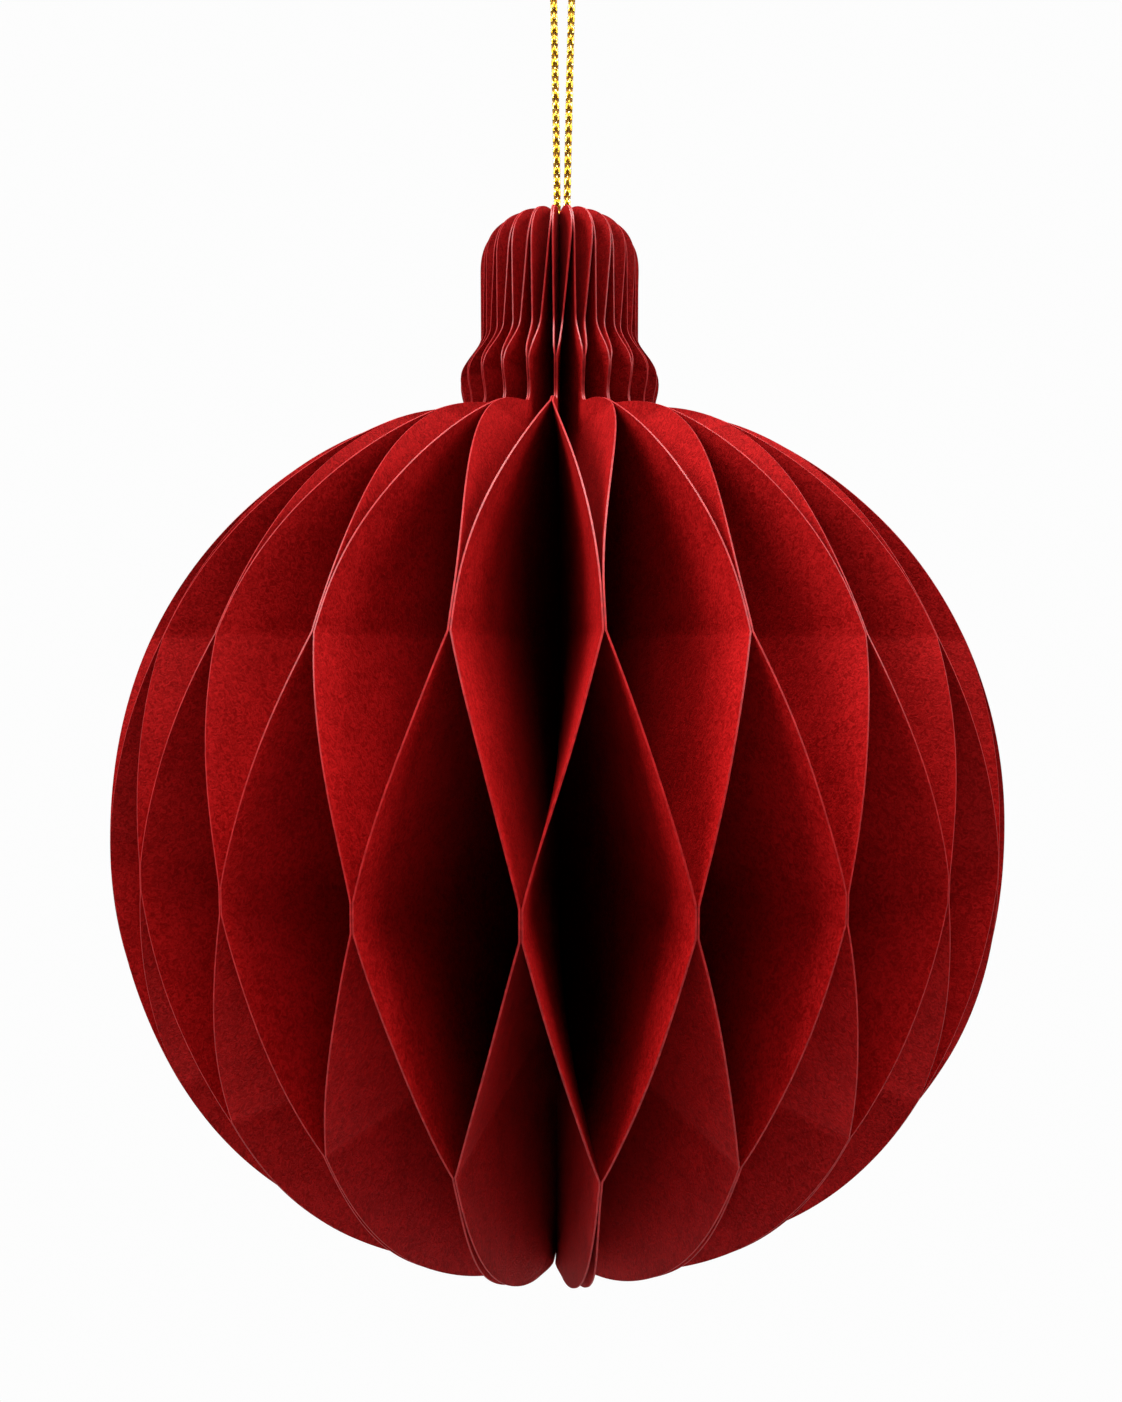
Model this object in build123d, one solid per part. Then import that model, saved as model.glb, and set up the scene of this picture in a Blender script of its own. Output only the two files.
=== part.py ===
"""Folding honeycomb paper bauble that hangs from a metallic cord loop.

Forty-eight leaves of red card stand round a hollow core. Neighbouring leaves are glued together
along short horizontal strips, at alternate heights, so the open leaves bow apart into cells. The two
cover leaves meet at a seam, where two pairs of flat bar magnets hold the bauble open. The cord's knot
sits in the core, under the crown.

Sizes are in millimetres and degrees. The row frame has its origin where the loop rests on its hook,
+Z up and -Y towards the viewer. Leaf shapes are worked out from the ball's centre, which hangs
hang_drop below the origin.
"""

import os
from math import asin, radians, sin, sqrt, tan

from build123d import *

# The silhouette of a leaf, from its tip up to its crown
ball_radius = 75.0
upper_flattening = 0.98      # the ball's height above its centre against its radius
upper_fullness = 2.1         # 2 is a true ellipse, more is squarer at the shoulder
lower_flattening = 0.99
lower_fullness = 2.04
tip_arc_radius = 111.0       # the lower end draws in along this flatter arc
tip_arc_start = 51.7         # degrees below the equator where that arc takes over
collar_foot_radius = 16.9    # where the ball's shoulder meets the collar
collar_radius = 17.65
collar_rise = 5.8            # from its foot to where the collar is widest
lip_radius = 17.45
lip_rise = 1.6               # from there to the lip's corner
collar_flare = 8.0           # height over which the collar draws in from its lip to the cap
cap_radius = 14.1
cap_side = 9.6               # the cap's straight side
dome_height = 11.3
dome_fullness = 2.4
end_land = 0.8               # width left at both ends of a leaf, beside the core

# The stack of leaves
leaf_count = 48
card_thickness = 0.25
glue_film = 0.06
seam_direction = 109.5       # from the front, towards +X, to the seam between the covers

# Glue strips, which join alternate pairs of leaves at alternate levels
crown_strip_depth = 4.3      # from the crown down
collar_strip_depth = 4.6     # from the collar's foot down; it ends where the collar is widest
upper_latitudes = (24.7, 27.7)
equator_latitudes = (-2.4, 0.3)
lower_latitudes = (-30.0, -26.9)
bows = (1.0, 2.4, 1.1, 0.9)  # how early a leaf crosses over below each strip; 1 is a steady slope
tip_ease = 1.6               # below the last strip the pairs relax towards even spacing

# Closure magnets, seated on the cell side of the two covers at the upper and lower strips
magnet_length = 10.0
magnet_thickness = 1.0
magnet_height = 3.4
magnet_edge = 0.15
magnet_rim_margin = 5.0

# Cord loop and its knot
cord_diameter = 1.2
cord_above_crown = 54.6
knot_clearance = 0.3
knot_length = 5.0
knot_edge = 0.5
cord_route = (
    (-0.8, 0.0, -68.0),
    (-1.65, 0.0, -11.5),
    (-2.45, 0.0, -6.5),
    (-3.0, 0.0, -3.7),
    (-2.9, 0.0, -1.1),
    (-1.2, 0.0, 0.6),
    (1.2, 0.0, 0.6),
    (2.9, 0.0, -1.1),
    (3.0, 0.0, -3.7),
    (2.45, 0.0, -6.5),
    (1.65, 0.0, -11.5),
    (0.8, 0.0, -68.0),
)



def rounding(share, fullness):
    """How wide a rounded outline still is at a share of its height, or how high at its width."""
    return (1 - share**fullness) ** (1 / fullness)


def tangent_centre():
    """Radius and height of the centre of the tip's arc, which leaves the ball without a kink."""
    rim = ball_radius * rounding(-tip_arc_top / lower_height, lower_fullness)
    outward = (rim / ball_radius) ** (lower_fullness - 1) / ball_radius
    down = (-tip_arc_top / lower_height) ** (lower_fullness - 1) / lower_height
    back = tip_arc_radius / sqrt(outward**2 + down**2)
    return rim - back * outward, tip_arc_top + back * down


# Worked out from the sizes above
leaf_pitch = 360 / leaf_count
half_pitch = radians(leaf_pitch / 2)
core_radius = (card_thickness + glue_film) / 2 / sin(half_pitch)
end_radius = core_radius + end_land
upper_height = upper_flattening * ball_radius
lower_height = lower_flattening * ball_radius
tip_arc_top = -lower_height * sin(radians(tip_arc_start))
tip_arc_centre = tangent_centre()
tip_height = tip_arc_centre[1] - sqrt(tip_arc_radius**2 - (end_radius - tip_arc_centre[0]) ** 2)
collar_foot = upper_height * rounding(collar_foot_radius / ball_radius, upper_fullness)
collar_height = collar_foot + collar_rise
lip_height = collar_height + lip_rise
cap_foot = lip_height + collar_flare
cap_shoulder = cap_foot + cap_side
crown_height = cap_shoulder + dome_height * rounding(end_radius / cap_radius, dome_fullness)
hang_drop = cord_above_crown + crown_height


def strip_between(latitudes):
    """Lowest and highest point of a glue strip between two latitudes of the ball."""
    return tuple(ball_radius * sin(radians(latitude)) for latitude in latitudes)


crown_strip = (crown_height - crown_strip_depth, crown_height)
collar_strip = (collar_foot - collar_strip_depth, collar_height)
upper_strip = strip_between(upper_latitudes)
equator_strip = strip_between(equator_latitudes)
lower_strip = strip_between(lower_latitudes)
strips = (crown_strip, collar_strip, upper_strip, equator_strip, lower_strip)


def rim_radius(height):
    """Radius of a leaf's outer edge at a height above the ball's centre."""
    if height < tip_arc_top:
        rise = height - tip_arc_centre[1]
        return tip_arc_centre[0] + sqrt(tip_arc_radius**2 - rise**2)
    if height < 0:
        return ball_radius * rounding(-height / lower_height, lower_fullness)
    if height < collar_foot:
        return ball_radius * rounding(height / upper_height, upper_fullness)
    if height < collar_height:
        share = (collar_height - height) / collar_rise
        return collar_radius - (collar_radius - collar_foot_radius) * share**2
    if height < lip_height:
        return lip_radius + (collar_radius - lip_radius) * (lip_height - height) / lip_rise
    if height < cap_foot:
        return cap_radius + (lip_radius - cap_radius) * ((cap_foot - height) / collar_flare) ** 2
    if height < cap_shoulder:
        return cap_radius
    return cap_radius * rounding((height - cap_shoulder) / dome_height, dome_fullness)


def swing(height):
    """Where a leaf stands between its two neighbours: 1 against one, -1 against the other."""
    side = 1
    for (low, high), bow, (_, next_high) in zip(strips, bows, strips[1:]):
        if height >= low:
            return side
        if height > next_high:
            fallen = (low - height) / (low - next_high)
            return side * (2 * (1 - fallen) ** bow - 1)
        side = -side
    low = strips[-1][0]
    if height >= low:
        return side
    return side * (1 - ((low - height) / (low - tip_height)) ** tip_ease)


def arc_heights(radius, centre, low, high, count):
    """Heights from low up to, but without, high that are nearly evenly spaced round an arc."""
    start, end = asin((low - centre) / radius), asin((high - centre) / radius)
    return [centre + radius * sin(start + (end - start) * i / count) for i in range(count)]


def even_heights(low, high, count):
    """Heights from low up to, but without, high at even steps."""
    return [low + (high - low) * i / count for i in range(count)]


def dome_heights(count):
    """Heights over the cap's dome, evenly spaced round it, with the crown as the last."""
    turn = asin((crown_height - cap_shoulder) / dome_height)
    return [cap_shoulder + dome_height * sin(turn * i / count) for i in range(count + 1)]


def crease_heights():
    """Heights where a leaf is creased, from its tip to its crown."""
    return [
        *arc_heights(tip_arc_radius, tip_arc_centre[1], tip_height, tip_arc_top, 3),
        *arc_heights(lower_height, 0, tip_arc_top, lower_strip[0], 3),
        lower_strip[0],
        *arc_heights(lower_height, 0, lower_strip[1], equator_strip[0], 3),
        equator_strip[0],
        *arc_heights(upper_height, 0, equator_strip[1], upper_strip[0], 3),
        upper_strip[0],
        *arc_heights(upper_height, 0, upper_strip[1], collar_strip[0], 4),
        collar_strip[0],
        *even_heights(collar_foot, collar_height, 2),
        collar_height,
        *even_heights(lip_height, cap_foot, 3),
        cap_foot,
        *dome_heights(3),
    ]


def leaf(side):
    """One leaf along +X. side is 1 or -1, for the two ways that alternate leaves bow."""
    sections = []
    for height in crease_heights():
        rim = rim_radius(height)
        bowed = side * swing(height) * tan(half_pitch) * (rim - core_radius)
        sections.append([
            Vector(core_radius, -card_thickness / 2, height),
            Vector(rim, bowed - card_thickness / 2, height),
            Vector(rim, bowed + card_thickness / 2, height),
            Vector(core_radius, card_thickness / 2, height),
        ])
    panels = [sections[0], sections[-1]]
    for below, above in zip(sections, sections[1:]):
        for near, far in ((0, 1), (1, 2), (3, 2)):
            panels.append([below[near], below[far], above[far]])
            panels.append([below[near], above[far], above[near]])
    panels.append([s[0] for s in sections] + [s[3] for s in reversed(sections)])
    return Solid(Shell([Face(Wire.make_polygon(panel)) for panel in panels]))


def leaf_angle(number):
    """Direction of a leaf about +Z, counted from the first cover round to the last."""
    return seam_direction - 90 + leaf_pitch * (number - 0.5)


def leaf_side(number):
    """Even leaves meet the next leaf at the crown, odd ones the leaf before."""
    return 1 if number % 2 == 0 else -1


def place_leaf_piece(piece, number):
    """Turns a piece made along +X to its leaf's direction and hangs it under the hook."""
    return Pos(0, 0, -hang_drop) * Rot(0, 0, leaf_angle(number)) * piece


def cover_magnet(side, strip):
    """Bar magnet on the cell side of a cover made along +X, flat on its glue strip."""
    low, high = strip
    reach = rim_radius(high) - magnet_rim_margin - magnet_length / 2 - core_radius
    bar = Box(magnet_length, magnet_thickness, magnet_height)
    bar = chamfer(bar.edges(), magnet_edge)
    bar = Pos(reach, -side * magnet_thickness / 2, (low + high) / 2) * bar
    seat = Pos(core_radius, -side * card_thickness / 2, 0) * Rot(0, 0, side * leaf_pitch / 2)
    return seat * bar


def cord_loop():
    """The cord from its knot, up round the hook and back down to the knot."""
    points = [Vector(*point) for point in cord_route]
    fillets = []
    for before, corner, after in zip(points, points[1:], points[2:]):
        turn = radians((corner - before).get_angle(after - corner))
        shorter = min((corner - before).length, (after - corner).length)
        fillets.append(0.45 * shorter / tan(turn / 2))
    path = FilletPolyline(*points, radius=fillets)
    section = Plane(path @ 0, z_dir=path % 0) * Circle(cord_diameter / 2)
    tube = sweep(section, path=path)
    print("cord length", round(path.length, 1), "radii", [round(r, 1) for r in fillets])
    print("cord volume over section times length", tube.volume / (section.area * path.length))
    return tube


def knot():
    """The overhand knot that both cord ends make, as a plain barrel in the core."""
    barrel = Cylinder(core_radius - knot_clearance, knot_length)
    barrel = chamfer(barrel.edges().filter_by(GeomType.CIRCLE), knot_edge)
    return Pos(0, 0, cord_route[0][2] - knot_length / 2) * barrel


def main():
    """Builds every piece and writes it to parts/."""
    pieces = {"hanging_cord": cord_loop(), "cord_knot": knot()}
    leaves = {side: leaf(side) for side in (1, -1)}
    for number in range(1, leaf_count + 1):
        pieces[f"leaf_{number:02d}"] = place_leaf_piece(leaves[leaf_side(number)], number)
    for cover, number in (("first", 1), ("last", leaf_count)):
        for level, strip in (("upper", upper_strip), ("lower", lower_strip)):
            magnet = cover_magnet(leaf_side(number), strip)
            pieces[f"{level}_magnet_{cover}_cover"] = place_leaf_piece(magnet, number)
    os.makedirs("parts", exist_ok=True)
    for name, piece in pieces.items():
        export_step(piece, f"parts/{name}.step")


main()
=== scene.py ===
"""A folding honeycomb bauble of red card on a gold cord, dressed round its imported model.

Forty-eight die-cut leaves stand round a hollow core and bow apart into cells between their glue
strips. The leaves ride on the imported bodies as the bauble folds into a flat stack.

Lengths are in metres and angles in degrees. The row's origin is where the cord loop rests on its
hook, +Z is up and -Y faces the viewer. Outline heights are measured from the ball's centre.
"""

import logging
from dataclasses import dataclass, field
from enum import Enum
from math import asin, ceil, cos, pi, radians, sin, sqrt, tan
from random import Random

import bmesh
import bpy
from bpy.types import GeometryNodeTree, Material, Mesh, NodeSocket, NodeTree, Object
from mathutils import Matrix, Vector


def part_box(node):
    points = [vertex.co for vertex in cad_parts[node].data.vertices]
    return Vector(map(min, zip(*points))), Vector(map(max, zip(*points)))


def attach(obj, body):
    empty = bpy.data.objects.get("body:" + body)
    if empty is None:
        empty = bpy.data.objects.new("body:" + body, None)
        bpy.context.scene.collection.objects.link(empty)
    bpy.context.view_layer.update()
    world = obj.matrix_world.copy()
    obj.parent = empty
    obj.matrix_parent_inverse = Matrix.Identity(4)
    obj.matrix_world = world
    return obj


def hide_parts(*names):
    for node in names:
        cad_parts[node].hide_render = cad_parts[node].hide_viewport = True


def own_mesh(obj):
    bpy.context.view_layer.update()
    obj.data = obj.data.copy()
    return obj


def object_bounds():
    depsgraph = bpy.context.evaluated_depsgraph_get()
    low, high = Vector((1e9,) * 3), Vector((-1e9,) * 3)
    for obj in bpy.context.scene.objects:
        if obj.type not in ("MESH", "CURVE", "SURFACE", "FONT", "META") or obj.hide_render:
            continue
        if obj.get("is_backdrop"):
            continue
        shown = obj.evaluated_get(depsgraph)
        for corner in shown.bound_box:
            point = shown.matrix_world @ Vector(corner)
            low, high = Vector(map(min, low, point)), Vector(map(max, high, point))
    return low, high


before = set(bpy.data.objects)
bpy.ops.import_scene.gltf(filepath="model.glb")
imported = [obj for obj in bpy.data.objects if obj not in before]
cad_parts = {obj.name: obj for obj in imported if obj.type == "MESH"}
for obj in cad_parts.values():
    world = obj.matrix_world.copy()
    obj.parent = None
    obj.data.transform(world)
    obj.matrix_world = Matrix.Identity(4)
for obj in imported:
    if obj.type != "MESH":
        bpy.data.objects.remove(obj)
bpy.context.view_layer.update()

log = logging.getLogger("bauble")

MM = 0.001

Colour = tuple[float, float, float]


class Side(Enum):
    """Which way a leaf bows at the crown, and so which neighbour it is glued to there."""

    TOWARDS_NEXT = 1
    TOWARDS_LAST = -1

    @classmethod
    def of(cls, number: int) -> "Side":
        """The side of a leaf by its number.

        Args:
            number: The leaf's number, from 1.

        Returns:
            The side that the leaf bows to at its crown.
        """
        return cls.TOWARDS_NEXT if number % 2 == 0 else cls.TOWARDS_LAST


class Wiring:
    """Adds nodes to a node tree and joins them up."""

    def __init__(self, tree: NodeTree) -> None:
        """Starts on an empty tree.

        Args:
            tree: The shader or geometry tree to fill.
        """
        self.tree = tree

    def node(self, kind: str, **settings: object) -> bpy.types.Node:
        """Adds one node.

        Args:
            kind: The node's type name.
            **settings: The node's own properties to set.

        Returns:
            The new node.
        """
        made = self.tree.nodes.new(kind)
        for name, value in settings.items():
            setattr(made, name, value)
        return made

    def feed(self, socket: NodeSocket, value: object) -> None:
        """Links a socket to another, or sets its own value.

        Args:
            socket: The input socket.
            value: An output socket, or a plain value.
        """
        if isinstance(value, NodeSocket):
            self.tree.links.new(value, socket)
        else:
            socket.default_value = value

    def fill(self, node: bpy.types.Node, **values: object) -> bpy.types.Node:
        """Feeds several inputs of a node by name, with underscores for spaces.

        Args:
            node: The node to feed.
            **values: Output sockets or plain values, by input name.

        Returns:
            The same node.
        """
        for name, value in values.items():
            self.feed(node.inputs[name.replace("_", " ")], value)
        return node

    def step(self, kind: str, **values: object) -> NodeSocket:
        """Adds one node and feeds its inputs by name.

        Args:
            kind: The node's type name.
            **values: Output sockets or plain values, by input name.

        Returns:
            The node's first output.
        """
        return self.fill(self.node(kind), **values).outputs[0]

    def math(self, operation: str, *values: object) -> NodeSocket:
        """Adds a Math node.

        Args:
            operation: The operation's name.
            *values: Its inputs, as sockets or numbers.

        Returns:
            The result's socket.
        """
        node = self.node("ShaderNodeMath", operation=operation)
        for socket, value in zip(node.inputs, values):
            self.feed(socket, value)
        return node.outputs[0]

    def share(self, value: object, start: object, end: object) -> NodeSocket:
        """How far a value is on the way from start to end, held between 0 and 1.

        Args:
            value: The value's socket.
            start: Where the share is 0.
            end: Where the share is 1.

        Returns:
            The share's socket.
        """
        node = self.node("ShaderNodeMapRange", clamp=True)
        self.fill(node, Value=value, From_Min=start, From_Max=end, To_Min=0.0, To_Max=1.0)
        return node.outputs["Result"]

    def ramp(self, value: object, tones: tuple[tuple[float, Colour], ...]) -> NodeSocket:
        """Adds a colour ramp.

        Args:
            value: What picks the colour.
            tones: The positions and their colours, from low to high.

        Returns:
            The colour's socket.
        """
        node = self.node("ShaderNodeValToRGB")
        elements = node.color_ramp.elements
        for position, _ in tones[len(elements) :]:
            elements.new(position)
        for element, (position, colour) in zip(elements, tones):
            element.position = position
            element.color = (*colour, 1.0)
        self.feed(node.inputs["Fac"], value)
        return node.outputs["Color"]


def new_rule(name: str, inputs: dict[str, str]) -> GeometryNodeTree:
    """Starts a Geometry Nodes rule that takes a shape and named inputs and gives a shape.

    Args:
        name: The rule's name.
        inputs: What kind of socket each named input is.

    Returns:
        The tree, with its sockets and no nodes.
    """
    tree = bpy.data.node_groups.new(name, "GeometryNodeTree")
    sockets = tree.interface
    sockets.new_socket("Geometry", in_out="INPUT", socket_type="NodeSocketGeometry")
    for label, kind in inputs.items():
        sockets.new_socket(label, in_out="INPUT", socket_type=f"NodeSocket{kind}")
    sockets.new_socket("Geometry", in_out="OUTPUT", socket_type="NodeSocketGeometry")
    return tree


def follow_rule(holder: Object, tree: GeometryNodeTree, values: dict[str, object]) -> Mesh:
    """Runs a Geometry Nodes rule on an object, and uses the object up.

    Args:
        holder: The object that the rule starts from.
        tree: The rule.
        values: The rule's inputs by name.

    Returns:
        What the rule makes, as a plain mesh.
    """
    bpy.context.scene.collection.objects.link(holder)
    modifier = holder.modifiers.new("rule", "NODES")
    modifier.node_group = tree
    for item in tree.interface.items_tree:
        if item.in_out == "INPUT" and item.name in values:
            modifier[item.identifier] = values[item.name]
    graph = bpy.context.evaluated_depsgraph_get()
    made = bpy.data.meshes.new_from_object(holder.evaluated_get(graph), depsgraph=graph)
    bpy.data.objects.remove(holder)
    return made


@dataclass(frozen=True)
class Finish:
    """A finish's name and its plain shader settings."""

    name: str
    roughness: float = 0.8
    metallic: float = 0.0
    specular: float = 0.5

    def start(self) -> tuple[Material, Wiring, bpy.types.Node]:
        """Makes the material with a surface shader that has the plain settings.

        Returns:
            The material, the wiring of its tree, and its surface shader.
        """
        material = bpy.data.materials.new(self.name)
        material.use_nodes = True
        wiring = Wiring(material.node_tree)
        shader = material.node_tree.nodes["Principled BSDF"]
        wiring.fill(shader, Roughness=self.roughness, Metallic=self.metallic)
        wiring.fill(shader, Specular_IOR_Level=self.specular)
        return material, wiring, shader

    @staticmethod
    def noise(
        wiring: Wiring,
        size: float,
        detail: float,
        stretch: tuple[float, float, float] = (1.0, 1.0, 1.0),
        curl: float = 0.0,
    ) -> NodeSocket:
        """Adds noise on the piece's own coordinates.

        Args:
            wiring: The tree's wiring.
            size: The size of the noise's patches.
            detail: How many finer layers the noise has.
            stretch: How many times denser the noise is along each axis.
            curl: How strongly the patches are drawn out into curls.

        Returns:
            The noise value's socket.
        """
        place = wiring.node("ShaderNodeTexCoord").outputs["Object"]
        scale = tuple(density / size for density in stretch)
        spot = wiring.step("ShaderNodeMapping", Vector=place, Scale=scale)
        noise = wiring.node("ShaderNodeTexNoise")
        wiring.fill(noise, Vector=spot, Scale=1.0, Detail=detail, Distortion=curl)
        return noise.outputs["Fac"]

    @staticmethod
    def bump(wiring: Wiring, shader: bpy.types.Node, height: NodeSocket, depth: float) -> None:
        """Raises the surface by a height pattern.

        Args:
            wiring: The tree's wiring.
            shader: The surface shader.
            height: The pattern, from 0 to 1.
            depth: The height of the pattern.
        """
        raised = wiring.step("ShaderNodeBump", Height=height, Distance=depth, Strength=1.0)
        wiring.feed(shader.inputs["Normal"], raised)


@dataclass(frozen=True)
class GrainedFinish(Finish):
    """A finish whose colour and relief both follow one fine grain."""

    grain_size: float = 1 * MM
    grain_detail: float = 2.0
    grain_stretch: tuple[float, float, float] = (1.0, 1.0, 1.0)
    relief: float = 0.02 * MM
    tones: tuple[tuple[float, Colour], ...] = ()

    def make(self) -> Material:
        """Builds the material.

        Returns:
            The finish's material.
        """
        material, wiring, shader = self.start()
        grain = self.noise(wiring, self.grain_size, self.grain_detail, self.grain_stretch)
        wiring.feed(shader.inputs["Base Color"], wiring.ramp(grain, self.tones))
        self.bump(wiring, shader, grain, self.relief)
        return material


@dataclass(frozen=True)
class RedCard(Finish):
    """Heavy felted card, dyed through, with cloudy colour and short fibres."""

    name: str = "red_card"
    roughness: float = 0.7
    specular: float = 0.05
    tones: tuple[tuple[float, Colour], ...] = (
        (0.38, (0.165, 0.0002, 0.0004)),
        (0.62, (0.325, 0.0045, 0.0048)),
    )
    cloud_size: float = 6 * MM
    cloud_detail: float = 3.0
    cloud_share: float = 0.2
    fibre_size: float = 0.62 * MM
    fibre_detail: float = 4.0
    fibre_share: float = 0.8
    fibre_curl: float = 1.6
    fibre_depth: float = 0.1 * MM

    def make(self) -> Material:
        """Builds the material.

        Returns:
            The card's material.
        """
        material, wiring, shader = self.start()
        clouds = self.noise(wiring, self.cloud_size, self.cloud_detail)
        fibres = self.noise(wiring, self.fibre_size, self.fibre_detail, curl=self.fibre_curl)
        mottle = wiring.math(
            "ADD",
            wiring.math("MULTIPLY", clouds, self.cloud_share),
            wiring.math("MULTIPLY", fibres, self.fibre_share),
        )
        wiring.feed(shader.inputs["Base Color"], wiring.ramp(mottle, self.tones))
        self.bump(wiring, shader, fibres, self.fibre_depth)
        return material


@dataclass(frozen=True)
class CutEdge(GrainedFinish):
    """The card's die-cut edge, where loose fibres catch the light."""

    name: str = "cut_edge"
    roughness: float = 0.45
    specular: float = 0.2
    grain_size: float = 0.8 * MM
    tones: tuple[tuple[float, Colour], ...] = (
        (0.35, (0.18, 0.001, 0.0015)),
        (0.65, (0.30, 0.005, 0.0055)),
    )


@dataclass(frozen=True)
class GoldYarn(GrainedFinish):
    """Metallic gold yarn, wound from narrow foil strips, dull to clear gold at random, with
    painted glints: near-white colour at the grain's peaks.
    """

    name: str = "gold_yarn"
    roughness: float = 0.26
    metallic: float = 1.0
    grain_size: float = 0.3 * MM
    grain_stretch: tuple[float, float, float] = (1.0, 1.0, 0.5)
    relief: float = 0.03 * MM
    tones: tuple[tuple[float, Colour], ...] = (
        (0.36, (0.42, 0.18, 0.002)),
        (0.50, (0.90, 0.50, 0.036)),
        (0.56, (0.90, 0.50, 0.036)),
        # Painted glint: this top stop lays near-white colour on the grain's peaks.
        (0.66, (1.0, 0.94, 0.55)),
    )


@dataclass(frozen=True)
class CoreThread(GrainedFinish):
    """The dull thread that the gold stitches are knitted round."""

    name: str = "core_thread"
    roughness: float = 0.7
    grain_size: float = 0.2 * MM
    grain_stretch: tuple[float, float, float] = (1.0, 1.0, 0.3)
    tones: tuple[tuple[float, Colour], ...] = (
        (0.4, (0.135, 0.055, 0.001)),
        (0.6, (0.55, 0.29, 0.0075)),
    )


@dataclass(frozen=True)
class NickelPlate(GrainedFinish):
    """Bright nickel plating, faintly brushed and scuffed."""

    name: str = "nickel_plate"
    roughness: float = 0.24
    metallic: float = 1.0
    grain_size: float = 0.4 * MM
    grain_detail: float = 3.0
    grain_stretch: tuple[float, float, float] = (1.0, 1.0, 4.0)
    relief: float = 0.004 * MM
    tones: tuple[tuple[float, Colour], ...] = (
        (0.35, (0.44, 0.43, 0.41)),
        (0.65, (0.64, 0.63, 0.59)),
    )


@dataclass(frozen=True)
class GlueStrip:
    """The heights between which two neighbouring leaves are glued together."""

    low: float
    high: float


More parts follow.
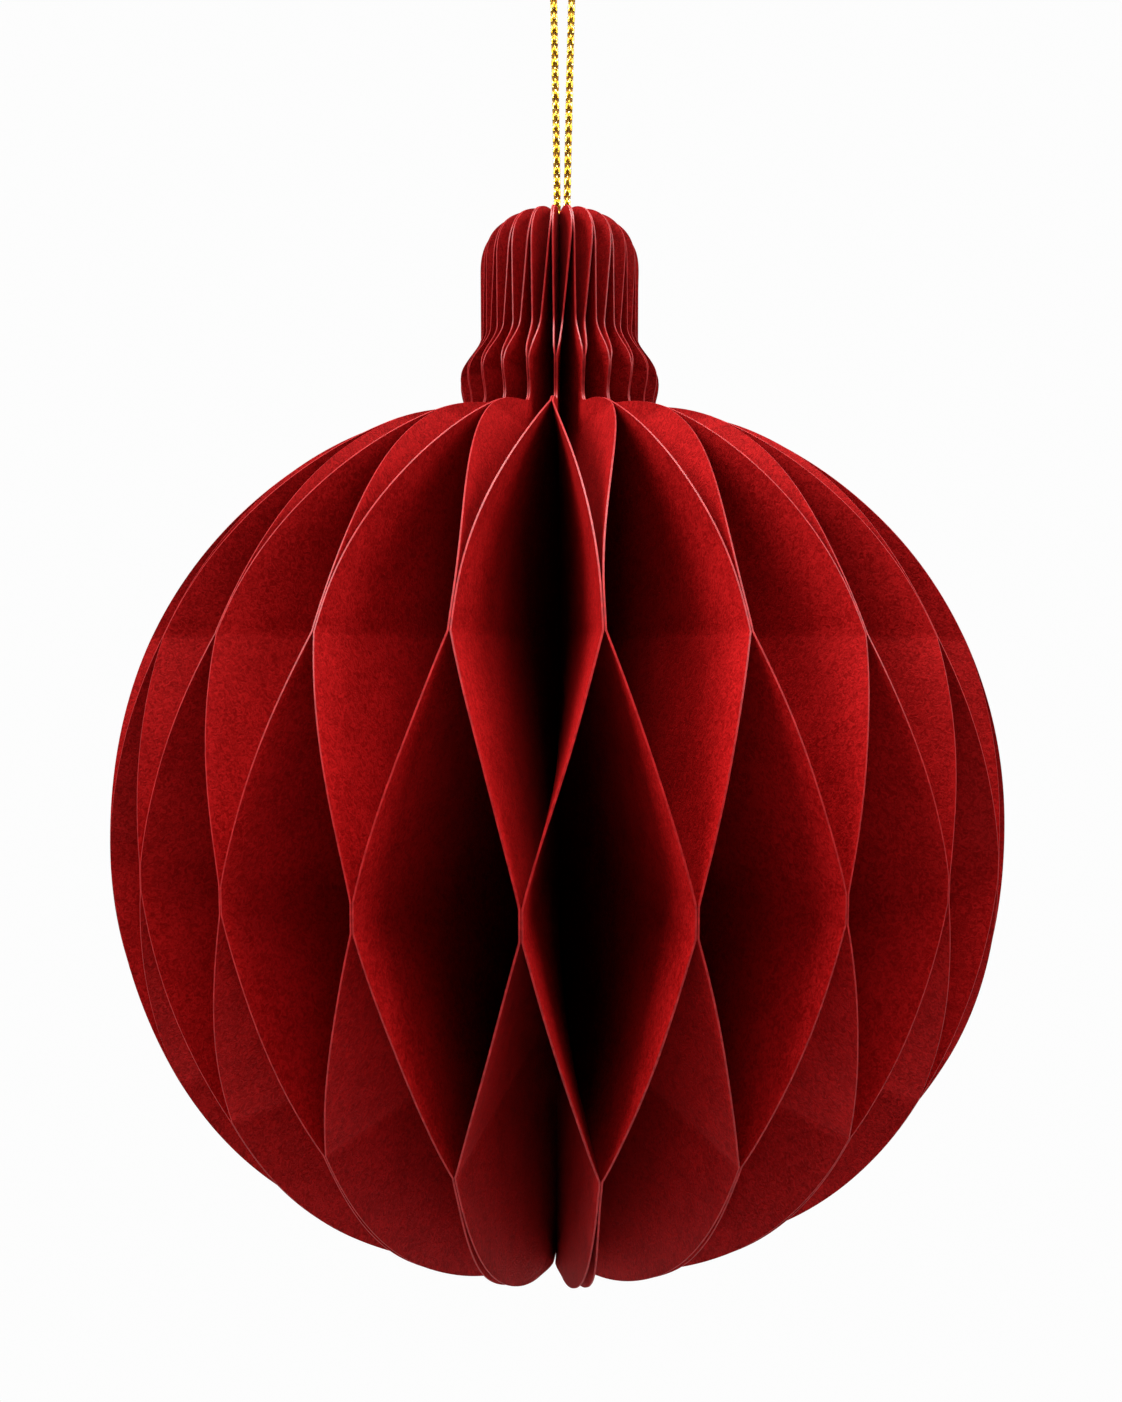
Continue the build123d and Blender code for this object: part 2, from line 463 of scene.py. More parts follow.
@dataclass
class LeafOutline:
    """The die-cut outline that all leaves share, and the glue strips across it."""

    card_thickness: float = 0.25 * MM
    glue_film: float = 0.06 * MM
    leaf_count: int = 48
    ball_radius: float = 75 * MM
    upper_flattening: float = 0.98
    upper_fullness: float = 2.1
    lower_flattening: float = 0.99
    lower_fullness: float = 2.04
    tip_arc_radius: float = 111 * MM
    tip_arc_start: float = 51.7
    shoulder_dip: float = 1.1 * MM
    shoulder_depth: float = 5 * MM
    shoulder_power: int = 3
    collar_fillet: float = 5 * MM
    collar_foot_radius: float = 14.8 * MM
    collar_radius: float = 17.8 * MM
    collar_rise: float = 7.54 * MM
    collar_power: int = 2
    lip_radius: float = 17.76 * MM
    lip_rise: float = 0.4 * MM
    collar_flare: float = 7.5 * MM
    cap_radius: float = 14.1 * MM
    cap_side: float = 11.1 * MM
    dome_height: float = 10.6 * MM
    dome_fullness: float = 2.5
    end_land: float = 0.8 * MM
    crown_strip_depth: float = 5.6 * MM
    collar_strip_depth: float = 4 * MM
    upper_latitudes: tuple[float, float] = (24.7, 27.7)
    equator_latitudes: tuple[float, float] = (-2.4, 0.3)
    lower_latitudes: tuple[float, float] = (-30.0, -26.9)
    row_step: float = 1.6 * MM
    neck_fineness: int = 4
    dome_fineness: int = 2
    crease_width: float = 0.3 * MM

    def __post_init__(self) -> None:
        """Works out the heights that the outline turns at."""
        self.half_pitch = radians(180 / self.leaf_count)
        self.core_radius = (self.card_thickness + self.glue_film) / 2 / sin(self.half_pitch)
        end_radius = self.core_radius + self.end_land
        self.upper_height = self.upper_flattening * self.ball_radius
        self.lower_height = self.lower_flattening * self.ball_radius
        self.tip_arc_top = -self.lower_height * sin(radians(self.tip_arc_start))
        self.tip_arc_centre = self._tangent_centre()
        reach = end_radius - self.tip_arc_centre.x
        self.tip = self.tip_arc_centre.y - sqrt(self.tip_arc_radius**2 - reach**2)
        narrowing = (self.collar_foot_radius + self.collar_fillet) / self.ball_radius
        shoulder = self.upper_height * self.rounding(narrowing, self.upper_fullness)
        self.collar_foot = shoulder - self.shoulder_dip
        self.collar_height = self.collar_foot + self.collar_rise
        self.lip_height = self.collar_height + self.lip_rise
        self.cap_foot = self.lip_height + self.collar_flare
        self.cap_shoulder = self.cap_foot + self.cap_side
        opening = end_radius / self.cap_radius
        closing = self.rounding(opening, self.dome_fullness)
        self.crown = self.cap_shoulder + self.dome_height * closing

    @staticmethod
    def rounding(share: float, fullness: float) -> float:
        """How wide a rounded outline still is at a share of its height, or how high at its width.

        Args:
            share: The share of the height, or of the width.
            fullness: 2 for a true ellipse, more for squarer shoulders.

        Returns:
            The share of the width, or of the height.
        """
        return (1 - share**fullness) ** (1 / fullness)

    def _tangent_centre(self) -> Vector:
        """The centre of the tip's arc, which leaves the ball without a kink.

        Returns:
            The centre's radius and height.
        """
        depth, power = -self.tip_arc_top / self.lower_height, self.lower_fullness - 1
        width = self.rounding(depth, self.lower_fullness)
        away = Vector((width**power / self.ball_radius, -(depth**power) / self.lower_height))
        start = Vector((self.ball_radius * width, self.tip_arc_top))
        return start - self.tip_arc_radius * away.normalized()

    @property
    def strips(self) -> list[GlueStrip]:
        """The glue strips from the crown down."""
        bands = (self.upper_latitudes, self.equator_latitudes, self.lower_latitudes)
        return [
            GlueStrip(self.crown - self.crown_strip_depth, self.crown),
            GlueStrip(self.collar_foot - self.collar_strip_depth, self.collar_height),
            *(GlueStrip(*(self.ball_radius * sin(radians(a)) for a in band)) for band in bands),
        ]

    def rim_radius(self, height: float) -> float:
        """Radius of the outer edge.

        Args:
            height: A height above the ball's centre.

        Returns:
            The edge's distance from the axis there.
        """
        if height < self.tip_arc_top:
            rise = height - self.tip_arc_centre.y
            return self.tip_arc_centre.x + sqrt(self.tip_arc_radius**2 - rise**2)
        if height < 0:
            share = -height / self.lower_height
            return self.ball_radius * self.rounding(share, self.lower_fullness)
        if height < self.collar_foot:
            near = max(0.0, 1 - (self.collar_foot - height) / self.shoulder_depth)
            share = (height + self.shoulder_dip * near**self.shoulder_power) / self.upper_height
            return self.ball_radius * self.rounding(share, self.upper_fullness)
        if height < self.collar_height:
            share = (self.collar_height - height) / self.collar_rise
            narrow = (self.collar_radius - self.collar_foot_radius) * share**self.collar_power
            short = max(0.0, self.collar_fillet - (height - self.collar_foot))
            spread = self.collar_fillet - sqrt(self.collar_fillet**2 - short**2)
            return self.collar_radius - narrow + spread
        if height < self.lip_height:
            share = (self.lip_height - height) / self.lip_rise
            return self.lip_radius + (self.collar_radius - self.lip_radius) * share
        if height < self.cap_foot:
            share = (self.cap_foot - height) / self.collar_flare
            # The flare eases in at both of its ends.
            narrow = self.lip_radius - self.cap_radius
            return self.cap_radius + narrow * share**2 * (3 - 2 * share)
        rise = max(0.0, height - self.cap_shoulder) / self.dome_height
        return self.cap_radius * self.rounding(rise, self.dome_fullness)

    def round_arc(self, radius: float, centre: float, low: float, high: float) -> list[float]:
        """Heights evenly spaced round an arc.

        Args:
            radius: The arc's radius, or its height if it is an ellipse.
            centre: The height of its centre.
            low: The first height.
            high: Where the heights stop, which is left out.

        Returns:
            The heights from low up.
        """
        start, end = asin((low - centre) / radius), asin((high - centre) / radius)
        count = ceil((end - start) * radius / self.row_step)
        turns = (start + (end - start) * i / count for i in range(count))
        return [centre + radius * sin(turn) for turn in turns]

    def row_heights(self) -> list[float]:
        """Heights of a leaf's rows, with close ones at each end of every strip, for crisp creases.

        Returns:
            The heights from the tip up to the crown.
        """
        ball = []
        for strip in reversed(self.strips[2:]):
            ball += [strip.low - self.crease_width, strip.low]
            ball += [strip.high, strip.high + self.crease_width]
        ball.append(self.strips[1].low)
        tip_arc = self.tip_arc_radius, self.tip_arc_centre.y
        rows = self.round_arc(*tip_arc, self.tip, self.tip_arc_top)
        for low, high in zip((self.tip_arc_top, *ball), (*ball, self.collar_foot)):
            tall = self.lower_height if low < 0 else self.upper_height
            rows += self.round_arc(tall, 0.0, low, high)
        neck = [self.collar_foot, self.collar_height, self.lip_height]
        neck += [self.cap_foot, self.cap_shoulder]
        for low, high in zip(neck, neck[1:]):
            count = ceil((high - low) / self.row_step * self.neck_fineness)
            rows += [low + (high - low) * i / count for i in range(count)]
        turn = asin((self.crown - self.cap_shoulder) / self.dome_height)
        count = ceil(self.cap_radius * turn / self.row_step * self.dome_fineness)
        rises = (self.dome_height * sin(turn * i / count) for i in range(count + 1))
        return rows + [self.cap_shoulder + rise for rise in rises]


@dataclass
class BowRule:
    """The Geometry Nodes rule that bows a flat leaf from one neighbour to the other and back."""

    outline: LeafOutline
    crossings: tuple[float, ...] = (0.8, 2.1, 1.1, 0.9)
    wobble_size: float = 30 * MM
    pinch: float = 1.0
    pinch_start: float = 5.5 * MM
    pinch_end: float = 2.0 * MM
    pinch_power: float = 2.0
    twist_power: float = 2.0
    tree: GeometryNodeTree = field(init=False)

    def __post_init__(self) -> None:
        """Builds the tree."""
        names = ["Side", "Slope", "Core Radius", "Tip", "Tip Ease", "Wobble", "Seed"]
        names += ["Collar Twist", "Crown Twist"]
        for number in range(len(self.outline.strips)):
            names += [f"Strip {number} Low", f"Strip {number} High"]
        names += [f"Crossing {number}" for number in range(len(self.crossings))]
        self.tree = new_rule("bow_rule", dict.fromkeys(names, "Float") | {"Card": "Material"})
        self._nodes()

    def _nodes(self) -> None:
        """Wires the rule: a leaf's lean by height, times its distance from the core."""
        wiring = Wiring(self.tree)
        given = wiring.node("NodeGroupInput").outputs
        position = wiring.node("GeometryNodeInputPosition").outputs[0]
        parts = wiring.fill(wiring.node("ShaderNodeSeparateXYZ"), Vector=position).outputs
        reach, height = parts["X"], parts["Z"]
        swing = self._swing(wiring, height, given)
        beyond = wiring.math("SUBTRACT", reach, given["Core Radius"])
        outward = wiring.math("MAXIMUM", beyond, 0.0)
        sided = wiring.math("MULTIPLY", swing, given["Side"])
        bow = wiring.math("MULTIPLY", sided, given["Slope"])
        free = wiring.math("SUBTRACT", 1.0, wiring.math("MULTIPLY", swing, swing))
        scatter = wiring.math("MULTIPLY", self._wobble(wiring, height, given), free)
        twist = self._twist(wiring, height, given)
        lean = wiring.math("ADD", wiring.math("ADD", bow, scatter), twist)
        offset = wiring.step("ShaderNodeCombineXYZ", Y=wiring.math("MULTIPLY", lean, outward))
        leaf = wiring.step("GeometryNodeSetPosition", Geometry=given["Geometry"], Offset=offset)
        leaf = wiring.step("GeometryNodeSetShadeSmooth", Geometry=leaf)
        leaf = wiring.step("GeometryNodeRealizeInstances", Geometry=leaf)
        leaf = wiring.step("GeometryNodeSetMaterial", Geometry=leaf, Material=given["Card"])
        wiring.feed(wiring.node("NodeGroupOutput").inputs[0], leaf)

    def _swing(self, wiring: Wiring, height: NodeSocket, given: object) -> NodeSocket:
        """How far a leaf is on its way from one neighbour, at -1, to the other, at 1.

        Args:
            wiring: The tree's wiring.
            height: The height's socket.
            given: The tree's inputs.

        Returns:
            The swing's socket.
        """
        swing: object = 1.0
        for number in range(len(self.crossings)):
            start, end = given[f"Strip {number} Low"], given[f"Strip {number + 1} High"]
            ahead = wiring.math("SUBTRACT", 1.0, wiring.share(height, start, end))
            left = wiring.math("POWER", ahead, given[f"Crossing {number}"])
            turn = wiring.math("MULTIPLY", wiring.math("SUBTRACT", 1.0, left), 2.0)
            swing = wiring.math("SUBTRACT" if number % 2 == 0 else "ADD", swing, turn)
        last = len(self.crossings)
        below = wiring.share(height, given[f"Strip {last} Low"], given["Tip"])
        eased = wiring.math("SUBTRACT", 1.0, wiring.math("POWER", below, given["Tip Ease"]))
        above = wiring.math("SUBTRACT", height, given["Tip"])
        nearing = wiring.share(above, self.pinch_start, self.pinch_end)
        closing = wiring.math("POWER", nearing, self.pinch_power)
        closed = wiring.math("MULTIPLY", closing, self.pinch)
        return wiring.math("SUBTRACT", wiring.math("MULTIPLY", swing, eased), closed)

    def _wobble(self, wiring: Wiring, height: NodeSocket, given: object) -> NodeSocket:
        """A leaf's own small lean, which changes slowly with height.

        Args:
            wiring: The tree's wiring.
            height: The height's socket.
            given: The tree's inputs.

        Returns:
            The lean's socket, as a slope.
        """
        along = wiring.math("DIVIDE", height, self.wobble_size)
        place = wiring.step("ShaderNodeCombineXYZ", Z=along)
        noise = wiring.node("ShaderNodeTexNoise", noise_dimensions="4D")
        wiring.fill(noise, Vector=place, W=given["Seed"], Scale=1.0, Detail=0.0)
        centred = wiring.math("SUBTRACT", noise.outputs["Fac"], 0.5)
        return wiring.math("MULTIPLY", centred, given["Wobble"])

    def _twist(self, wiring: Wiring, height: NodeSocket, given: object) -> NodeSocket:
        """The lean that all leaves share where the collar and the crown are turned on the ball.

        Args:
            wiring: The tree's wiring.
            height: The height's socket.
            given: The tree's inputs.

        Returns:
            The lean's socket, as a slope.
        """
        upper = wiring.share(height, given["Strip 1 High"], given["Strip 0 Low"])
        lower = wiring.share(height, given["Strip 2 High"], given["Strip 1 Low"])
        eased = wiring.math("POWER", lower, self.twist_power)
        collar = wiring.math("MULTIPLY", eased, given["Collar Twist"])
        gain = wiring.math("SUBTRACT", given["Crown Twist"], given["Collar Twist"])
        return wiring.math("ADD", collar, wiring.math("MULTIPLY", upper, gain))

    def settings(self) -> dict[str, float]:
        """The tree's inputs that all leaves share.

        Returns:
            The values by input name.
        """
        outline = self.outline
        values = {
            "Slope": tan(outline.half_pitch),
            "Core Radius": outline.core_radius,
            "Tip": outline.tip,
        }
        for number, strip in enumerate(outline.strips):
            values |= {f"Strip {number} Low": strip.low, f"Strip {number} High": strip.high}
        return values | {f"Crossing {i}": value for i, value in enumerate(self.crossings)}

    def bow(self, flat: Mesh, values: dict[str, object]) -> Mesh:
        """Bows one flat leaf.

        Args:
            flat: The flat leaf's mesh.
            values: The tree's inputs by name.

        Returns:
            A plain mesh of the bowed leaf.
        """
        return follow_rule(bpy.data.objects.new("bowing", flat), self.tree, values)


@dataclass
class Leaves:
    """The ring of card leaves, which folds flat onto the held leaf."""

    outline: LeafOutline = field(default_factory=LeafOutline)
    seam_direction: float = 109.5
    held_leaf: int = 24
    columns: int = 9
    inner_overhang: float = 0.45 * MM
    rim_column: float = 0.25 * MM
    edge_round: float = 0.06 * MM
    edge_steps: int = 1
    edge_angle: float = 50.0
    flat_share: float = 0.008
    wobble: float = 0.016
    collar_twist: float = 1.3
    crown_twist: float = 6.0
    early_ease: float = 1.5
    late_ease: float = 5.5
    seed: int = 38

    def __post_init__(self) -> None:
        """Finds where the ball's centre hangs, builds the rule and picks the leaves' tips."""
        self.centre_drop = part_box("leaf_24")[0].z - self.outline.tip
        self.rule = BowRule(self.outline)
        self.dice = Random(self.seed)
        self.tip_eases = self._pick_tip_eases()

    def _pick_tip_eases(self) -> dict[int, float]:
        """How late each leaf lets go of its line below the lowest strip.

        One leaf of each glued pair keeps its line nearly to the tip, and the other swings back
        early.

        Returns:
            The ease by the leaf's number.
        """
        eases = {}
        for number in range(2, self.outline.leaf_count + 1, 2):
            pair = [self.early_ease, self.late_ease]
            self.dice.shuffle(pair)
            eases[number], eases[number % self.outline.leaf_count + 1] = pair
        return eases

    def angle(self, number: int) -> float:
        """Direction of a leaf about +Z.

        Args:
            number: The leaf's number.

        Returns:
            The direction in degrees from +X.
        """
        return self.seam_direction - 90 + 360 / self.outline.leaf_count * (number - 0.5)

    def placement(self, number: int) -> Matrix:
        """Turns a leaf made along +X to its direction and hangs it at its height.

        Args:
            number: The leaf's number.

        Returns:
            The placing matrix.
        """
        turn = Matrix.Rotation(radians(self.angle(number)), 4, "Z")
        return Matrix.Translation((0, 0, self.centre_drop)) @ turn

    def flat_leaf(self) -> Mesh:
        """The die-cut leaf before it is bowed, as one layer of faces.

        Returns:
            The flat mesh, along +X from the core.
        """
        sheet = bmesh.new()
        rows = []
        for height in self.outline.row_heights():
            rim = self.outline.rim_radius(height)
            core = self.outline.core_radius - self.inner_overhang
            span = rim - min(self.rim_column, (rim - core) / self.columns) - core
            reaches = [core + span * i / (self.columns - 1) for i in range(self.columns)]
            rows.append([sheet.verts.new((reach, 0, height)) for reach in (*reaches, rim)])
        for lower, upper in zip(rows, rows[1:]):
            for a, b, c, d in zip(lower, lower[1:], upper[1:], upper):
                sheet.faces.new((a, b, c, d))
        mesh = bpy.data.meshes.new("flat_leaf")
        sheet.to_mesh(mesh)
        sheet.free()
        return mesh

    def build(self, card: Material, edge: Material) -> None:
        """Builds, dresses and mounts every leaf.

        Args:
            card: The card's material.
            edge: The cut edge's material.
        """
        flat, shared = self.flat_leaf(), self.rule.settings()
        for number in range(1, self.outline.leaf_count + 1):
            values = {
                "Side": float(Side.of(number).value),
                "Tip Ease": self.tip_eases[number],
                "Wobble": self.wobble,
                "Collar Twist": radians(self.collar_twist),
                "Crown Twist": radians(self.crown_twist),
                "Seed": self.dice.uniform(0, 100),
                "Card": card,
            }
            mesh = self.rule.bow(flat, shared | values)
            mesh.transform(self.placement(number))
            mesh.materials.append(edge)
            self._mount(number, mesh)
        bpy.data.meshes.remove(flat)
        log.info("leaves: %d", self.outline.leaf_count)

    def _mount(self, number: int, mesh: Mesh) -> None:
        """Gives a leaf its thickness and rides it on its body.

        Args:
            number: The leaf's number.
            mesh: The leaf's bowed middle surface, in its place.
        """
        leaf = bpy.data.objects.new(f"card_leaf_{number:02d}", mesh)
        bpy.context.scene.collection.objects.link(leaf)
        wall = leaf.modifiers.new("card", "SOLIDIFY")
        wall.thickness, wall.offset = self.outline.card_thickness, 0.0
        wall.material_offset_rim = 1
        soften = leaf.modifiers.new("pressed_edge", "BEVEL")
        soften.width, soften.segments = self.edge_round, self.edge_steps
        soften.limit_method, soften.angle_limit = "ANGLE", radians(self.edge_angle)
        soften.harden_normals = True
        held = number == self.held_leaf
        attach(leaf, "held_leaf" if held else f"turning_leaf_{number:02d}")
        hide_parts(f"leaf_{number:02d}")
        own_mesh(leaf)


@dataclass
class CordLoop:
    """The knitted cord, from its knot up round the hook and back."""

    diameter: float = 1.2 * MM
    aside: float = 0.42 * MM
    knot_centre: float = -70.5 * MM
    knot_size: tuple[float, float, float] = (0.7 * MM, 0.4 * MM, 1.85 * MM)
    knot_points: int = 24
    knot_steps: int = 4
    knot_roundness: int = 3
    knot_turns: int = 2
    knot_waves: int = 3
    half_route: tuple[tuple[float, float], ...] = (
        (-0.62 * MM, -68 * MM),
        (-1.55 * MM, -11.5 * MM),
        (-2.35 * MM, -6.5 * MM),
        (-3.0 * MM, -3.7 * MM),
        (-2.9 * MM, -1.1 * MM),
        (-1.2 * MM, 0.6 * MM),
    )
    spline_steps: int = 24
    thread_radius: float = 0.4 * MM
    thread_sides: int = 8
    stitch_pitch: float = 1.9 * MM
    columns: int = 4
    lobe_size: tuple[float, float, float] = (0.26 * MM, 0.21 * MM, 0.98 * MM)
    lobe_seat: float = 0.43 * MM
    lobe_lean: float = 19.0
    lobe_spread: float = 0.23 * MM
    lobe_sides: int = 6

    def route(self) -> list[Vector]:
        """The route's points, up one strand and down the other.

        Returns:
            The points in the row frame.
        """
        up = [Vector((x, 0, z)) for x, z in self.half_route]
        down = [Vector((-point.x, 0, point.z)) for point in reversed(up)]
        return [point + Vector((self.aside, 0, 0)) for point in up + down]

    def centreline(self) -> Object:
        """A bare smooth curve along the route.

        Returns:
            The curve's object, which isn't linked to the scene.
        """
        curve = bpy.data.curves.new("cord_route", "CURVE")
        curve.dimensions, curve.resolution_u = "3D", self.spline_steps
        spline = curve.splines.new("NURBS")
        points = self.route()
        spline.points.add(len(points) - 1)
        for control, point in zip(spline.points, points):
            control.co = (*point, 1.0)
        spline.order_u = 3
        spline.use_endpoint_u = True
        return bpy.data.objects.new("cord_route", curve)

    def stitch(self, yarn: Material) -> Object:
        """One course of the knit: a pair of leaning lobes in each column round the thread.

        Args:
            yarn: The yarn's material.

        Returns:
            The course's object, along +Z about its own origin.
        """
        course = bmesh.new()
        for column in range(self.columns):
            turn = Matrix.Rotation(2 * pi * column / self.columns, 4, "Z")
            for hand in (1, -1):
                seat = Matrix.Translation((hand * self.lobe_spread, -self.lobe_seat, 0))
                lean = Matrix.Rotation(radians(-hand * self.lobe_lean), 4, "Y")
                size = Matrix.Diagonal((*self.lobe_size, 1.0))
                bmesh.ops.create_uvsphere(
                    course,
                    u_segments=self.lobe_sides,
                    v_segments=self.lobe_sides,
                    radius=1.0,
                    matrix=turn @ seat @ lean @ size,
                )
        for face in course.faces:
            face.smooth = True
        mesh = bpy.data.meshes.new("stitch_course")
        course.to_mesh(mesh)
        course.free()
        mesh.materials.append(yarn)
        return bpy.data.objects.new("stitch_course", mesh)

    def knit_tree(self, thread: Material, yarn: Material) -> GeometryNodeTree:
        """The rule that knits stitches round a core thread along a curve.

        Args:
            thread: The core thread's material.
            yarn: The stitches' material.

        Returns:
            The Geometry Nodes tree.
        """
        inputs = {"Stitch Pitch": "Float", "Thread Radius": "Float", "Stitch": "Object"}
        tree = new_rule("knit_rule", inputs)
        wiring = Wiring(tree)
        given = wiring.node("NodeGroupInput").outputs
        spaced = wiring.node("GeometryNodeResampleCurve", mode="LENGTH")
        wiring.fill(spaced, Curve=given["Geometry"], Length=given["Stitch Pitch"])
        tangent = wiring.node("GeometryNodeInputTangent").outputs[0]
        rise = wiring.fill(wiring.node("ShaderNodeSeparateXYZ"), Vector=tangent).outputs["Z"]
        # The stitches of both strands open upwards, so the way along the curve is turned up.
        upward = wiring.node("ShaderNodeVectorMath", operation="SCALE")
        wiring.fill(upward, Vector=tangent, Scale=wiring.math("SIGN", rise))
        aim = wiring.node("FunctionNodeAlignRotationToVector", axis="Z")
        wiring.fill(aim, Vector=upward.outputs[0])
        course = wiring.fill(wiring.node("GeometryNodeObjectInfo"), Object=given["Stitch"])
        knit = wiring.step(
            "GeometryNodeInstanceOnPoints",
            Points=spaced.outputs[0],
            Instance=course.outputs["Geometry"],
            Rotation=aim.outputs[0],
        )
        real = wiring.step("GeometryNodeRealizeInstances", Geometry=knit)
        gold = wiring.step("GeometryNodeSetMaterial", Geometry=real, Material=yarn)
        ring = wiring.step(
            "GeometryNodeCurvePrimitiveCircle",
            Resolution=self.thread_sides,
            Radius=given["Thread Radius"],
        )
        core = wiring.step(
            "GeometryNodeCurveToMesh", Curve=given["Geometry"], Profile_Curve=ring, Fill_Caps=True
        )
        dull = wiring.step("GeometryNodeSetMaterial", Geometry=core, Material=thread)
        both = wiring.node("GeometryNodeJoinGeometry")
        for strand in (gold, dull):
            wiring.feed(both.inputs[0], strand)
        wiring.feed(wiring.node("NodeGroupOutput").inputs[0], both.outputs[0])
        return tree

    def knot(self, yarn: Material) -> Object:
        """The overhand knot that both ends make in the core, drawn tight.

        Args:
            yarn: The yarn's material.

        Returns:
            The knot's object.
        """
        wide, loop, tall = self.knot_size
        curve = bpy.data.curves.new("overhand_knot", "CURVE")
        curve.dimensions, curve.resolution_u = "3D", self.knot_steps
        curve.bevel_depth, curve.bevel_resolution = self.diameter / 2, self.knot_roundness
        spline = curve.splines.new("NURBS")
        spline.points.add(self.knot_points - 1)
        for number, control in enumerate(spline.points):
            turn = 2 * pi * number / self.knot_points
            reach = wide + loop * cos(self.knot_waves * turn)
            rise = self.knot_centre + tall * sin(self.knot_waves * turn)
            round_core = self.knot_turns * turn
            control.co = (reach * cos(round_core), reach * sin(round_core), rise, 1.0)
        spline.use_cyclic_u = True
        holder = bpy.data.objects.new("overhand_knot", curve)
        mesh = bpy.data.meshes.new_from_object(holder)
        bpy.data.objects.remove(holder)
        mesh.materials.clear()
        mesh.materials.append(yarn)
        mesh.shade_smooth()
        knot = bpy.data.objects.new("overhand_knot", mesh)
        bpy.context.scene.collection.objects.link(knot)
        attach(knot, "held_leaf")
        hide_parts("cord_knot")
        return knot

    def build(self, thread: Material, yarn: Material) -> None:
        """Args:
            thread: The core thread's material.
            yarn: The stitches' material.
        """
        line = self.centreline()
        bare = bpy.data.meshes.new_from_object(line)
        course = self.stitch(yarn)
        values = {
            "Stitch Pitch": self.stitch_pitch,
            "Thread Radius": self.thread_radius,
            "Stitch": course,
        }
        mesh = follow_rule(line, self.knit_tree(thread, yarn), values)
        bpy.data.objects.remove(course)
        cord = bpy.data.objects.new("knitted_cord", mesh)
        bpy.context.scene.collection.objects.link(cord)
        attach(cord, "held_leaf")
        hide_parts("hanging_cord")
        self.knot(yarn)


@dataclass(frozen=True)
class Softbox:
    """A square soft light that faces the ball, placed from the ball's centre."""

    name: str
    place: tuple[float, float, float]
    size: float
    power: float


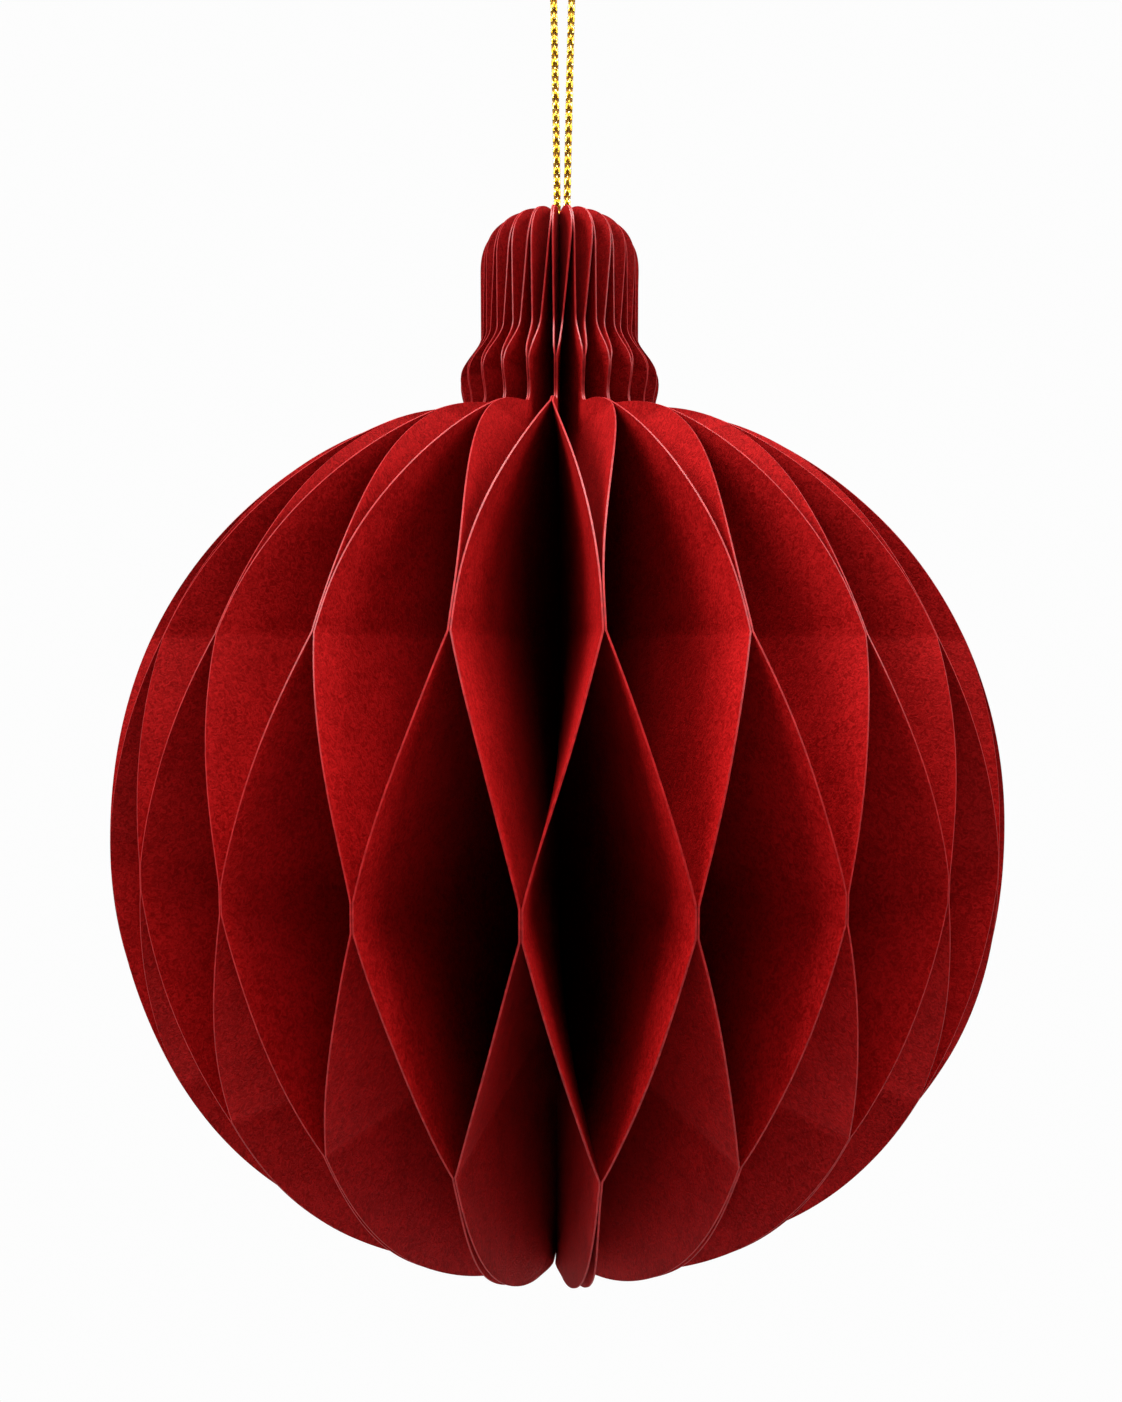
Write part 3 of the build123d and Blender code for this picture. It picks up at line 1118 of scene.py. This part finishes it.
@dataclass
class Studio:
    """The pale floor, the soft light and the camera."""

    ball_centre: float
    focal_length: float = 26.27
    sensor: float = 36.0
    distance: float = 187.1 * MM
    rise: float = 20.8 * MM
    aside: float = 0.46 * MM
    pitch: float = 1.97
    roll: float = 0.13
    near_limit: float = 5 * MM
    floor_drop: float = 0.30
    floor_size: float = 6.0
    floor_colour: Colour = (0.9, 0.9, 0.9)
    floor_roughness: float = 0.9
    white: float = 0.98
    reflected: float = 0.22
    ambient: float = 0.06
    softboxes: tuple[Softbox, ...] = (
        Softbox("key_left", (-0.85, -0.32, 0.78), 0.7, 26.0),
        Softbox("key_right", (0.90, -0.27, 0.73), 0.7, 16.0),
        Softbox("top", (0.05, -0.1, 1.0), 0.6, 22.0),
    )

    def camera(self) -> None:
        """Places the camera a little above the ball's equator and makes it the scene's."""
        lens = bpy.data.cameras.new("viewpoint")
        lens.sensor_fit, lens.sensor_height = "VERTICAL", self.sensor
        lens.lens, lens.clip_start = self.focal_length, self.near_limit
        nod = Matrix.Rotation(radians(self.pitch), 4, "X")
        untilt = (nod @ Matrix.Rotation(radians(self.roll), 4, "Y")).transposed()
        place = untilt @ Vector((self.aside, -self.distance, self.rise))
        stand = Matrix.Translation((*place.xy, place.z + self.ball_centre))
        level = Matrix.Rotation(radians(90), 4, "X")
        holder = bpy.data.objects.new("viewpoint", lens)
        holder.matrix_world = stand @ untilt @ level
        bpy.context.scene.collection.objects.link(holder)
        bpy.context.scene.camera = holder

    def pale(self) -> Material:
        """The floor's matt white, which is seen as plain white, and dimmer in reflections.

        Returns:
            The floor's material.
        """
        material = bpy.data.materials.new("pale_floor")
        material.use_nodes = True
        tree = material.node_tree
        wiring = Wiring(tree)
        diffuse = tree.nodes["Principled BSDF"]
        colour = (*self.floor_colour, 1.0)
        wiring.fill(diffuse, Base_Color=colour, Roughness=self.floor_roughness)
        glow = wiring.node("ShaderNodeEmission")
        path = wiring.node("ShaderNodeLightPath").outputs
        direct = wiring.math("MAXIMUM", path["Is Camera Ray"], path["Is Transmission Ray"])
        extra = wiring.math("MULTIPLY", direct, self.white - self.reflected)
        brightness = wiring.math("ADD", extra, self.reflected)
        wiring.fill(glow, Color=(1.0, 1.0, 1.0, 1.0), Strength=brightness)
        seen = wiring.math("MAXIMUM", direct, path["Is Glossy Ray"])
        mix = wiring.node("ShaderNodeMixShader")
        wiring.feed(mix.inputs["Fac"], seen)
        wiring.feed(mix.inputs[1], diffuse.outputs[0])
        wiring.feed(mix.inputs[2], glow.outputs[0])
        wiring.feed(tree.nodes["Material Output"].inputs["Surface"], mix.outputs[0])
        return material

    def floor(self) -> None:
        """Lays the floor well below the bauble."""
        half = self.floor_size / 2
        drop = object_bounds()[0].z - self.floor_drop
        mesh = bpy.data.meshes.new("studio_floor")
        corners = ((-half, -half), (half, -half), (half, half), (-half, half))
        mesh.from_pydata([(*corner, drop) for corner in corners], [], [(0, 1, 2, 3)])
        mesh.materials.append(self.pale())
        floor = bpy.data.objects.new("studio_floor", mesh)
        bpy.context.scene.collection.objects.link(floor)
        floor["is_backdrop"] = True

    def world(self) -> None:
        """Surrounds the bauble with faint even light.

        The background is seen as plain white, and dimmer in reflections.
        """
        world = bpy.data.worlds.new("studio")
        world.use_nodes = True
        bpy.context.scene.world = world
        wiring = Wiring(world.node_tree)
        path = wiring.node("ShaderNodeLightPath").outputs
        direct = wiring.math("MAXIMUM", path["Is Camera Ray"], path["Is Transmission Ray"])
        seen = wiring.math("MULTIPLY", direct, self.white - self.ambient)
        glossy = wiring.math("MULTIPLY", path["Is Glossy Ray"], self.reflected - self.ambient)
        extra = wiring.math("ADD", seen, glossy)
        back = world.node_tree.nodes["Background"]
        brightness = wiring.math("ADD", extra, self.ambient)
        wiring.fill(back, Color=(1.0, 1.0, 1.0, 1.0), Strength=brightness)

    def light(self, box: Softbox) -> None:
        """Adds one of the lights.

        Args:
            box: The light's name, place, width and power in watts.
        """
        lamp = bpy.data.lights.new(box.name, "AREA")
        lamp.shape, lamp.size, lamp.energy = "SQUARE", box.size, box.power
        holder = bpy.data.objects.new(box.name, lamp)
        place = Vector(box.place)
        aim = place.to_track_quat("Z", "Y").to_matrix().to_4x4()
        holder.matrix_world = Matrix.Translation(place + Vector((0, 0, self.ball_centre))) @ aim
        bpy.context.scene.collection.objects.link(holder)

    def build(self) -> None:
        """Sets up the whole studio."""
        self.camera()
        self.floor()
        self.world()
        for box in self.softboxes:
            self.light(box)
        bpy.context.scene.view_settings.view_transform = "Standard"
        log.info("studio: camera, floor and lights")


def dress_magnets(plating: Material) -> None:
    """Gives the closure magnets their plating.

    Args:
        plating: The plating's material.
    """
    names = [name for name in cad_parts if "magnet" in name]
    for name in names:
        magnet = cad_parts[name]
        for slot in magnet.material_slots:
            slot.material = plating
    log.info("magnets: %s", ", ".join(names))


def main() -> None:
    """Builds the studio and the bauble."""
    logging.basicConfig(level=logging.INFO, format="%(name)s: %(message)s")
    leaves = Leaves()
    Studio(leaves.centre_drop).build()
    CordLoop().build(CoreThread().make(), GoldYarn().make())
    leaves.build(RedCard().make(), CutEdge().make())
    dress_magnets(NickelPlate().make())


if __name__ == "__main__":
    main()
